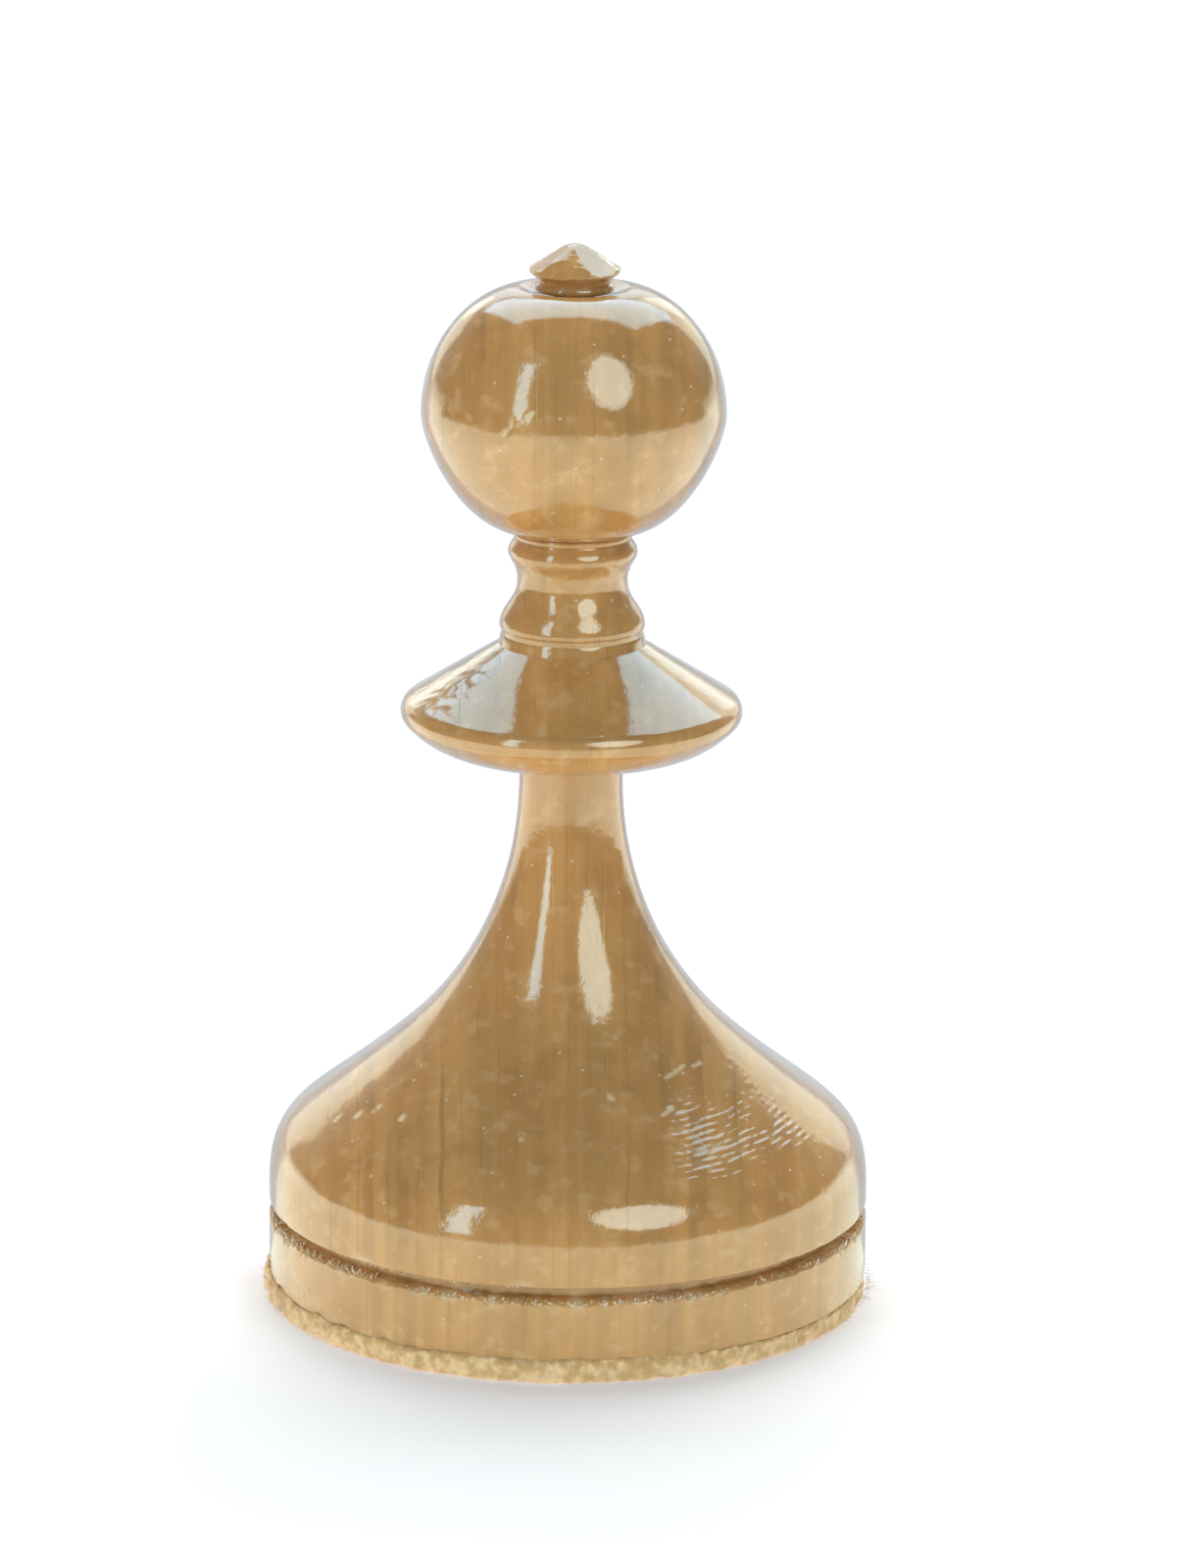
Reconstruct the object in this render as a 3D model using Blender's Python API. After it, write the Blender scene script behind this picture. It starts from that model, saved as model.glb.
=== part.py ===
# Turned wooden chess pawn with a metal weight and a felt pad, glued up from turned sections.
# Metres, +Z up, with the origin at the centre of the felt's underside.
# Every piece is turned about Z from an outline of (radius, height) points above its own seat.

import math

import bmesh
import bpy

# Fits
GLUE_LINE = 0.0001          # glue film between two seated faces
BORE_FIT = 0.0001           # room round a tenon, a dowel, a spigot or the weight
BORE_END = 0.0003           # room past the end of a tenon or a dowel

# Base, shared by the plinth and the body's band
BASE_RADIUS = 0.0140

# Felt pad
FELT_OVERHANG = 0.00025
FELT_THICKNESS = 0.00095
FELT_EDGE = 0.0002

# Plinth, the base ring under the groove
PLINTH_HEIGHT = 0.00285
PLINTH_EDGE = 0.00025
GROOVE_DEPTH = 0.0008
REGISTER_HEIGHT = 0.00045   # raised seat that keeps the groove open
SPIGOT_HEIGHT = 0.0012      # plug that enters the body's cavity under the weight

# Weight
WEIGHT_RADIUS = 0.0068
WEIGHT_HEIGHT = 0.0048
WEIGHT_CHAMFER = 0.0004

# Body: band, swelling bell, hollow bell and stem
BAND_HEIGHT = 0.0007
BAND_EDGE = 0.0003
SWELL_RISE = 0.0071         # band to the point where the outline turns from bulging to hollow
SWELL_RADIUS = 0.0081
SWELL_SLOPE = 41.0          # degrees from level at that point
HOLLOW_RISE = 0.0125
STEM_RADIUS = 0.0024
STEM_LENGTH = 0.0008        # straight part under the collar

# Collar
COLLAR_RADIUS = 0.0079
COLLAR_RIM_HEIGHT = 0.00224
COLLAR_RIM_ROUND = 0.0007
COLLAR_RIM_TURN = 43.0      # degrees below level where the rim's round ends
COLLAR_UNDER_SLOPE = 14.0
COLLAR_TOP_SLOPE = 32.0
COLLAR_BEAD_RADIUS = 0.0034
COLLAR_BEAD_HEIGHT = 0.00062
COLLAR_BEAD_ROUND = 0.00025

# Neck: flare, waist, bead and the ring under the head
FLARE_RADIUS = 0.00336
FLARE_EDGE = 0.0001
FLARE_RISE = 0.00226
WAIST_RADIUS = 0.00254
WAIST_RISE = 0.00134
BEAD_RADIUS = 0.00298
BEAD_RISE = 0.00064
NOTCH_RADIUS = 0.0027
NECK_RING_RADIUS = 0.00276
NECK_RING_HEIGHT = 0.00036

# Head, the flattened ball
HEAD_RADIUS = 0.0070
HEAD_UNDER_RISE = 0.00536   # neck to equator
HEAD_DOME_RISE = 0.00579    # equator to crown
HEAD_FOOT_SLOPE = 5.0       # degrees from level where the ball leaves the neck
CROWN_RADIUS = 0.0025
DISH_DEPTH = 0.00025        # shallow seat for the finial, sunk in the crown
DISH_GAP = 0.0001

# Finial
TENON_RADIUS = 0.0009
TENON_LENGTH = 0.0025
FINIAL_SHOULDER = 0.00093   # ledge round the tenon
FINIAL_WAIST_CUT = 0.00006
FINIAL_RIM_RADIUS = 0.00208
FINIAL_RIM_HEIGHT = 0.00095
FINIAL_RIM_ROUND = 0.00015
FINIAL_RIM_TURN = 60.0
FINIAL_SLOPE = 33.5
FINIAL_TIP_ROUND = 0.0012

# Centre dowel
DOWEL_RADIUS = 0.0010
DOWEL_CHAMFER = 0.0002
DOWEL_IN_BODY = 0.0050
DOWEL_IN_HEAD = 0.0040

# How far each smooth curve holds its end directions, as shares of the straight line between its ends
SWELL_HOLD = (0.385, 0.664)
HOLLOW_HOLD = (0.128, 0.539)
COLLAR_UNDER_HOLD = (0.37, 0.41)
COVE_HOLD = (0.34, 0.43)
BEAD_LOWER_HOLD = (0.52, 0.23)
BEAD_UPPER_HOLD = (0.46, 0.16)
HEAD_UNDER_HOLD = (0.363, 0.19)
HEAD_DOME_HOLD = (0.445, 0.284)

# Meshing
SEGMENTS = 40
ARC_STEPS = 4
SHORT_STEPS = 6
LONG_STEPS = 12
WELD = 1e-7
SHARP_ANGLE = 35.0

# Looks: linear colour, roughness and metallic value
LACQUERED_WOOD = ((0.45, 0.26, 0.105), 0.18, 0.0)
TAN_FELT = ((0.66, 0.50, 0.29), 0.95, 0.0)
BARE_STEEL = ((0.42, 0.42, 0.43), 0.45, 1.0)
BARE_BEECH = ((0.55, 0.38, 0.21), 0.70, 0.0)

# Bores that take the dowel, the tenon and the weight
DOWEL_BORE = DOWEL_RADIUS + BORE_FIT
TENON_BORE = TENON_RADIUS + BORE_FIT
CAVITY_RADIUS = WEIGHT_RADIUS + BORE_FIT
CAVITY_DEPTH = SPIGOT_HEIGHT + WEIGHT_HEIGHT + GLUE_LINE


def shift(point, degrees, length):
    """The point moved along a direction, in degrees up from straight outwards."""
    angle = math.radians(degrees)
    return (point[0] + length * math.cos(angle), point[1] + length * math.sin(angle))


def arc(centre, radius, start, end):
    """Points along a round between two directions from its centre."""
    angles = [start + (end - start) * step / ARC_STEPS for step in range(ARC_STEPS + 1)]
    return [shift(centre, angle, radius) for angle in angles]


def sweep(start, leaving, end, arriving, hold, steps):
    """Points along a smooth curve that leaves and arrives in the two given directions."""
    chord = math.dist(start, end)
    corners = (start, shift(start, leaving, hold[0] * chord), shift(end, arriving, -hold[1] * chord), end)
    points = []
    for step in range(steps + 1):
        t = step / steps
        s = 1.0 - t
        weights = (s ** 3, 3 * s * s * t, 3 * s * t * t, t ** 3)
        points.append(tuple(sum(w * corner[i] for w, corner in zip(weights, corners)) for i in (0, 1)))
    return points


def eased_disc(radius, height, edge):
    """Outline of a disc with rounded rims, from the axis below to the axis above."""
    lower = arc((radius - edge, edge), edge, -90, 0)
    upper = arc((radius - edge, height - edge), edge, 0, 90)
    return [(0, 0)] + lower + upper + [(0, height)]


def chamfered_bar(radius, height, chamfer):
    """Outline of a round bar with chamfered ends, from the axis below to the axis above."""
    lower = [(radius - chamfer, 0), (radius, chamfer)]
    upper = [(radius, height - chamfer), (radius - chamfer, height)]
    return [(0, 0)] + lower + upper + [(0, height)]


def felt_outline():
    return eased_disc(BASE_RADIUS + FELT_OVERHANG, FELT_THICKNESS, FELT_EDGE)


def plinth_outline():
    register = BASE_RADIUS - GROOVE_DEPTH
    seat = PLINTH_HEIGHT + REGISTER_HEIGHT
    top = seat + SPIGOT_HEIGHT
    ring = eased_disc(BASE_RADIUS, PLINTH_HEIGHT, PLINTH_EDGE)[:-1]
    step = [(register, PLINTH_HEIGHT), (register, seat)]
    spigot = [(WEIGHT_RADIUS, seat), (WEIGHT_RADIUS, top), (0, top)]
    return ring + step + spigot


def weight_outline():
    return chamfered_bar(WEIGHT_RADIUS, WEIGHT_HEIGHT, WEIGHT_CHAMFER)


def body_outline():
    shoulder = (BASE_RADIUS, BAND_HEIGHT)
    turn = (SWELL_RADIUS, BAND_HEIGHT + SWELL_RISE)
    stem = (STEM_RADIUS, turn[1] + HOLLOW_RISE)
    top = stem[1] + STEM_LENGTH
    bore_floor = top - DOWEL_IN_BODY - BORE_END
    inwards = 180 - SWELL_SLOPE
    cavity = [(0, CAVITY_DEPTH), (CAVITY_RADIUS, CAVITY_DEPTH), (CAVITY_RADIUS, 0)]
    edge = arc((BASE_RADIUS - BAND_EDGE, BAND_EDGE), BAND_EDGE, -90, 0)
    swell = sweep(shoulder, 90, turn, inwards, SWELL_HOLD, LONG_STEPS)
    hollow = sweep(turn, inwards, stem, 90, HOLLOW_HOLD, LONG_STEPS)
    bore = [(STEM_RADIUS, top), (DOWEL_BORE, top), (DOWEL_BORE, bore_floor), (0, bore_floor)]
    return cavity + edge + swell + hollow[1:] + bore


def collar_outline():
    seat_edge = (STEM_RADIUS, 0)
    rim_centre = (COLLAR_RADIUS - COLLAR_RIM_ROUND, COLLAR_RIM_HEIGHT)
    rim = arc(rim_centre, COLLAR_RIM_ROUND, -COLLAR_RIM_TURN, 90 - COLLAR_TOP_SLOPE)
    outwards = 90 - COLLAR_RIM_TURN
    under = sweep(seat_edge, COLLAR_UNDER_SLOPE, rim[0], outwards, COLLAR_UNDER_HOLD, SHORT_STEPS)
    rise = (rim[-1][0] - COLLAR_BEAD_RADIUS) * math.tan(math.radians(COLLAR_TOP_SLOPE))
    bead_foot = (COLLAR_BEAD_RADIUS, rim[-1][1] + rise)
    top = bead_foot[1] + COLLAR_BEAD_HEIGHT
    bead_centre = (COLLAR_BEAD_RADIUS - COLLAR_BEAD_ROUND, top - COLLAR_BEAD_ROUND)
    bead = arc(bead_centre, COLLAR_BEAD_ROUND, 0, 90)
    return [(DOWEL_BORE, 0)] + under + rim[1:] + [bead_foot] + bead + [(DOWEL_BORE, top)]


def neck_outline():
    waist = (WAIST_RADIUS, FLARE_RISE)
    bead = (BEAD_RADIUS, waist[1] + WAIST_RISE)
    notch = (NOTCH_RADIUS, bead[1] + BEAD_RISE)
    top = notch[1] + NECK_RING_HEIGHT
    foot = [(DOWEL_BORE, 0), (FLARE_RADIUS - FLARE_EDGE, 0)]
    cove = sweep((FLARE_RADIUS, FLARE_EDGE), 90, waist, 90, COVE_HOLD, SHORT_STEPS)
    lower = sweep(waist, 90, bead, 90, BEAD_LOWER_HOLD, SHORT_STEPS)
    upper = sweep(bead, 90, notch, 90, BEAD_UPPER_HOLD, SHORT_STEPS)
    ring = [(NECK_RING_RADIUS, notch[1]), (NECK_RING_RADIUS, top), (DOWEL_BORE, top)]
    return foot + cove + lower[1:] + upper[1:] + ring


def head_outline():
    foot = (NECK_RING_RADIUS, 0)
    equator = (HEAD_RADIUS, HEAD_UNDER_RISE)
    crown = (CROWN_RADIUS, HEAD_UNDER_RISE + HEAD_DOME_RISE)
    seat = crown[1] - DISH_DEPTH
    dish_radius = TENON_RADIUS + FINIAL_SHOULDER + DISH_GAP
    dowel_end = DOWEL_IN_HEAD + BORE_END
    tenon_end = seat + GLUE_LINE - TENON_LENGTH - BORE_END
    dowel_hole = [(0, dowel_end), (DOWEL_BORE, dowel_end), (DOWEL_BORE, 0)]
    under = sweep(foot, HEAD_FOOT_SLOPE, equator, 90, HEAD_UNDER_HOLD, LONG_STEPS)
    dome = sweep(equator, 90, crown, 180, HEAD_DOME_HOLD, LONG_STEPS)
    dish = [(dish_radius, seat), (TENON_BORE, seat)]
    tenon_hole = [(TENON_BORE, tenon_end), (0, tenon_end)]
    return dowel_hole + under + dome[1:] + dish + tenon_hole


def finial_outline():
    foot = TENON_RADIUS + FINIAL_SHOULDER
    slope = math.radians(FINIAL_SLOPE)
    rim_centre = (FINIAL_RIM_RADIUS - FINIAL_RIM_ROUND, FINIAL_RIM_HEIGHT)
    rim = arc(rim_centre, FINIAL_RIM_ROUND, -FINIAL_RIM_TURN, 90 - FINIAL_SLOPE)
    sharp_tip = rim[-1][1] + rim[-1][0] * math.tan(slope)
    tip_centre = (0, sharp_tip - FINIAL_TIP_ROUND / math.cos(slope))
    tip = arc(tip_centre, FINIAL_TIP_ROUND, 90 - FINIAL_SLOPE, 90)
    tenon = [(0, -TENON_LENGTH), (TENON_RADIUS, -TENON_LENGTH), (TENON_RADIUS, 0)]
    waist = [(foot, 0), (foot - FINIAL_WAIST_CUT, FINIAL_RIM_HEIGHT / 2)]
    return tenon + waist + rim + tip[:-1] + [(0, tip[-1][1])]


def dowel_outline(length):
    return chamfered_bar(DOWEL_RADIUS, length, DOWEL_CHAMFER)


def finish(name, look):
    """A plain material in the piece's own colour."""
    colour, roughness, metallic = look
    material = bpy.data.materials.new(name)
    material.use_nodes = True
    shader = material.node_tree.nodes["Principled BSDF"]
    shader.inputs["Base Color"].default_value = (*colour, 1.0)
    shader.inputs["Roughness"].default_value = roughness
    shader.inputs["Metallic"].default_value = metallic
    return material


def turned(name, outline, seat, look):
    """One piece on its seat, spun once round Z. An outline clear of the axis closes on itself."""
    lathe = bmesh.new()
    points = [lathe.verts.new((radius, 0.0, height)) for radius, height in outline]
    pairs = list(zip(points, points[1:]))
    if outline[0][0] > 0:
        pairs.append((points[-1], points[0]))
    edges = [lathe.edges.new(pair) for pair in pairs]
    bmesh.ops.spin(lathe, geom=points + edges, cent=(0, 0, 0), axis=(0, 0, 1), dvec=(0, 0, 0),
                   angle=math.tau, steps=SEGMENTS, use_merge=True)
    bmesh.ops.remove_doubles(lathe, verts=lathe.verts, dist=WELD)
    bmesh.ops.recalc_face_normals(lathe, faces=lathe.faces)
    mesh = bpy.data.meshes.new(name)
    lathe.to_mesh(mesh)
    lathe.free()
    mesh.materials.append(finish(name, look))
    mesh.shade_smooth()
    mesh.set_sharp_from_angle(angle=math.radians(SHARP_ANGLE))
    piece = bpy.data.objects.new(name, mesh)
    piece.location.z = seat
    bpy.context.scene.collection.objects.link(piece)


def height_of(outline):
    return max(height for _, height in outline)


def main():
    for obj in list(bpy.data.objects):
        bpy.data.objects.remove(obj)

    plinth_seat = FELT_THICKNESS + GLUE_LINE
    body_seat = plinth_seat + PLINTH_HEIGHT + REGISTER_HEIGHT + GLUE_LINE
    weight_seat = body_seat + SPIGOT_HEIGHT
    collar_seat = body_seat + height_of(body_outline()) + GLUE_LINE
    neck_seat = collar_seat + height_of(collar_outline()) + GLUE_LINE
    head_seat = neck_seat + height_of(neck_outline()) + GLUE_LINE
    finial_seat = head_seat + height_of(head_outline()) - DISH_DEPTH + GLUE_LINE
    dowel_seat = collar_seat - GLUE_LINE - DOWEL_IN_BODY
    dowel_length = head_seat + DOWEL_IN_HEAD - dowel_seat

    turned("felt_pad", felt_outline(), 0.0, TAN_FELT)
    turned("plinth", plinth_outline(), plinth_seat, LACQUERED_WOOD)
    turned("weight", weight_outline(), weight_seat, BARE_STEEL)
    turned("body", body_outline(), body_seat, LACQUERED_WOOD)
    turned("collar", collar_outline(), collar_seat, LACQUERED_WOOD)
    turned("neck", neck_outline(), neck_seat, LACQUERED_WOOD)
    turned("centre_dowel", dowel_outline(dowel_length), dowel_seat, BARE_BEECH)
    turned("head", head_outline(), head_seat, LACQUERED_WOOD)
    turned("finial", finial_outline(), finial_seat, LACQUERED_WOOD)


main()
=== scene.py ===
import math
import random

import bmesh
import bpy
from mathutils import Matrix, Vector, noise
from mathutils.geometry import interpolate_bezier


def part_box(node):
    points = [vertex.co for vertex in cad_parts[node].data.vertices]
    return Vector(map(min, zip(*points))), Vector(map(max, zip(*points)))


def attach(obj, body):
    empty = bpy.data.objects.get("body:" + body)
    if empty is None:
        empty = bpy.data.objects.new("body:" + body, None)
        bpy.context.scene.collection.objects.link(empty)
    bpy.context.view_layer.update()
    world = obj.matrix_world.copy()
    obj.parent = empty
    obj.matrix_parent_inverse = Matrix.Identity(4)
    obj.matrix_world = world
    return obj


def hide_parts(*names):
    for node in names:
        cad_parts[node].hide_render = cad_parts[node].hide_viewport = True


# Turned chess pawn: lacquered wood on a steel weight and a felt pad. Metres, +Z up, as in the frame.

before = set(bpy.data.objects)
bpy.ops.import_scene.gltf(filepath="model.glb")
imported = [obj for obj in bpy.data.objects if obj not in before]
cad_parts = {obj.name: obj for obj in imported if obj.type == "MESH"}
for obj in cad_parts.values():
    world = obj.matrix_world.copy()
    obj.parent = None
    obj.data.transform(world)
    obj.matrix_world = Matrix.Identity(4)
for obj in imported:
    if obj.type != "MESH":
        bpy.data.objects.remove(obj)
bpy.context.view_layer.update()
boxes = {node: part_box(node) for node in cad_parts}   # lowest and highest corner of each CAD node
print("frame loaded:", len(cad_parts), "nodes")


# Outlines are (radius, height) points, read from the foot of a piece to its top

def stepFrom(point, degrees, length):
    angle = math.radians(degrees)
    return Vector((point[0] + length * math.cos(angle), point[1] + length * math.sin(angle)))


def roundBetween(centre, radius, start, end, steps):
    return [stepFrom(centre, start + (end - start) * i / steps, radius) for i in range(steps + 1)]


def curveBetween(start, leaving, end, arriving, hold, steps):
    reach = math.dist(start, end)                   # hold is how far each end keeps its direction
    pullOut = stepFrom(start, leaving, hold[0] * reach)
    pullIn = stepFrom(end, arriving, -hold[1] * reach)
    return interpolate_bezier(Vector(start), pullOut, pullIn, Vector(end), steps + 1)


def lineBetween(start, end, steps):
    return [Vector(start).lerp(Vector(end), i / steps) for i in range(steps + 1)]


# Wear is worked out point by point: how far a point moves, and how bare of lacquer it is; bare places get a
# pale colour that is partly a painted sparkle

def fade(value, start, end):
    share = min(1.0, max(0.0, (value - start) / (end - start)))
    return share * share * (3 - 2 * share)


def between(value, low, high, soft):
    return fade(value, low - soft, low) * fade(value, high + soft, high)


def sideOf(place):
    return math.degrees(math.atan2(place.x, -place.y))      # 0 in front, then positive to the right


def onSide(side, radius, height):
    angle = math.radians(side)
    return Vector((radius * math.sin(angle), -radius * math.cos(angle), height))


def handWobble(place, depth):
    slow = noise.noise(place * 280 + Vector((3.1, 7.7, 1.3)))
    quick = noise.noise(place * 800 + Vector((9.2, 0.4, 5.8)))
    return depth * (slow + 0.25 * quick)


# a spot is a side and a height, and is put at the radius of the place it is measured from
def onRing(spot, place):
    return onSide(spot[0], math.hypot(place.x, place.y), spot[1])


def nearLine(place, start, end, wide):
    along = end - start
    share = min(1.0, max(0.0, (place - start).dot(along) / along.length_squared))
    return fade((place - start - along * share).length, wide, wide * 0.3)


latheShares = 10                                    # each piece's segments are a multiple of this
lacquerFilm = 0.00009                               # lacquer run into the seams, which it all but fills
boreClear = 0.0012                                  # nearer the axis than this is a bore, which has no wear


def turnOnLathe(name, outline, segments, wear):
    lathe = bmesh.new()
    bareAndSparkle = lathe.verts.layers.float.new("bareAndSparkle")
    points = [lathe.verts.new((r, 0, z)) for r, z in outline]
    pairs = list(zip(points, points[1:]))
    if outline[0][0] > 0:                           # bored right through, so the outline closes on itself
        pairs.append((points[-1], points[0]))
    edges = [lathe.edges.new(pair) for pair in pairs]
    share = math.tau / latheShares                  # one share is spun and the others are turned copies of it
    bmesh.ops.spin(lathe, geom=points + edges, cent=(0, 0, 0), axis=(0, 0, 1), dvec=(0, 0, 0),
                   angle=share, steps=segments // latheShares)
    spun = lathe.verts[:] + lathe.edges[:] + lathe.faces[:]
    for i in range(1, latheShares):
        copied = bmesh.ops.duplicate(lathe, geom=spun)["geom"]
        verts = [part for part in copied if isinstance(part, bmesh.types.BMVert)]
        bmesh.ops.rotate(lathe, verts=verts, cent=(0, 0, 0), matrix=Matrix.Rotation(share * i, 3, "Z"))
    bmesh.ops.remove_doubles(lathe, verts=lathe.verts, dist=1e-7)
    bmesh.ops.recalc_face_normals(lathe, faces=lathe.faces)
    lathe.normal_update()
    marks = [(vert, *wear(vert.co.copy(), vert.normal.copy())) for vert in lathe.verts]
    for vert, move, bareness in marks:
        vert.co += move
        vert[bareAndSparkle] = bareness
    return finishMesh(name, lathe)


def finishMesh(name, shape, sharp=40.0):
    mesh = bpy.data.meshes.new(name)
    shape.to_mesh(mesh)
    shape.free()
    mesh.shade_smooth()
    mesh.set_sharp_from_angle(angle=math.radians(sharp))
    piece = bpy.data.objects.new(name, mesh)
    bpy.context.scene.collection.objects.link(piece)
    return piece


def putOn(piece, node, material):
    piece.data.materials.clear()
    piece.data.materials.append(material)
    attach(piece, "root")
    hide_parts(node)
    print(piece.name, "stands for", node, "with", len(piece.data.polygons), "faces")
    return piece


# Materials

def newMaterial(name):
    material = bpy.data.materials.new(name)
    material.use_nodes = True
    return material, material.node_tree, material.node_tree.nodes["Principled BSDF"]


def addNode(tree, kind, inputs=None, **settings):
    made = tree.nodes.new("ShaderNode" + kind)
    for name, value in settings.items():
        setattr(made, name, value)
    for name, value in (inputs or {}).items():
        if isinstance(value, bpy.types.NodeSocket):
            tree.links.new(value, made.inputs[name])
        else:
            made.inputs[name].default_value = value
    return made


def objectPlace(tree, shift=(0, 0, 0)):
    place = addNode(tree, "TexCoord").outputs["Object"]
    return addNode(tree, "Mapping", {"Vector": place, "Location": shift}).outputs["Vector"]


def stretched(tree, place, scale):
    return addNode(tree, "Mapping", {"Vector": place, "Scale": scale}).outputs["Vector"]


def noiseOf(tree, place, size, detail=2.0, roughness=0.5):
    inputs = {"Vector": place, "Scale": 1 / size, "Detail": detail, "Roughness": roughness}
    return addNode(tree, "TexNoise", inputs).outputs["Fac"]


def maths(tree, operation, first, second=0.0):
    return addNode(tree, "Math", {0: first, 1: second}, operation=operation).outputs["Value"]


def rangeOf(tree, value, low, high, start=0.0, end=1.0):
    inputs = {"Value": value, "From Min": low, "From Max": high, "To Min": start, "To Max": end}
    return addNode(tree, "MapRange", inputs, interpolation_type="SMOOTHSTEP").outputs["Result"]


def mixed(tree, share, first, second):
    return addNode(tree, "Mix", {0: share, 6: first, 7: second}, data_type="RGBA").outputs[2]


def bumped(tree, height, depth, normal=None):
    inputs = {"Height": height, "Strength": 1.0, "Distance": depth}
    if normal:
        inputs["Normal"] = normal
    return addNode(tree, "Bump", inputs).outputs["Normal"]


def colour(rgb):
    return (*rgb, 1.0)


woodLook = {"pale": (0.64, 0.326, 0.108), "dark": (0.485, 0.235, 0.075), "line": (0.30, 0.162, 0.060),
            "stripe": (0.49, 0.257, 0.084), "smoke": (0.45, 0.218, 0.070), "smudge": (0.74, 0.455, 0.215),
            "bareAndSparkle": (0.80, 0.62, 0.38), "dust": (0.76, 0.63, 0.44),
            "pith": (0.26, 0.012, 0.0), "ring": 0.0024, "lineGap": 0.0017, "bandGap": 0.0013,
            "sway": 190.0, "warp": 0.0007, "patch": 0.0022, "fibre": 0.00019, "vessel": 0.00028,
            "cloud": 0.0034, "smokeSize": 0.0019, "smudgeSize": 0.0011, "dustCells": 1500.0,
            "grainDepth": 0.000004, "peel": 0.0013, "peelDepth": 0.000030, "ripple": 0.0004,
            "rippleDepth": 0.000006, "dustDepth": 0.00002, "roughness": 0.13, "ior": 1.75,
            "tint": (1.0, 0.80, 0.45), "coatRoughness": 0.045, "coatIor": 1.65}


def ringNoise(tree, ring, gap, detail, roughness=0.5):
    inputs = {"W": ring, "Scale": 1 / gap, "Detail": detail, "Roughness": roughness}
    return addNode(tree, "TexNoise", inputs, noise_dimensions="1D").outputs["Fac"]


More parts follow.
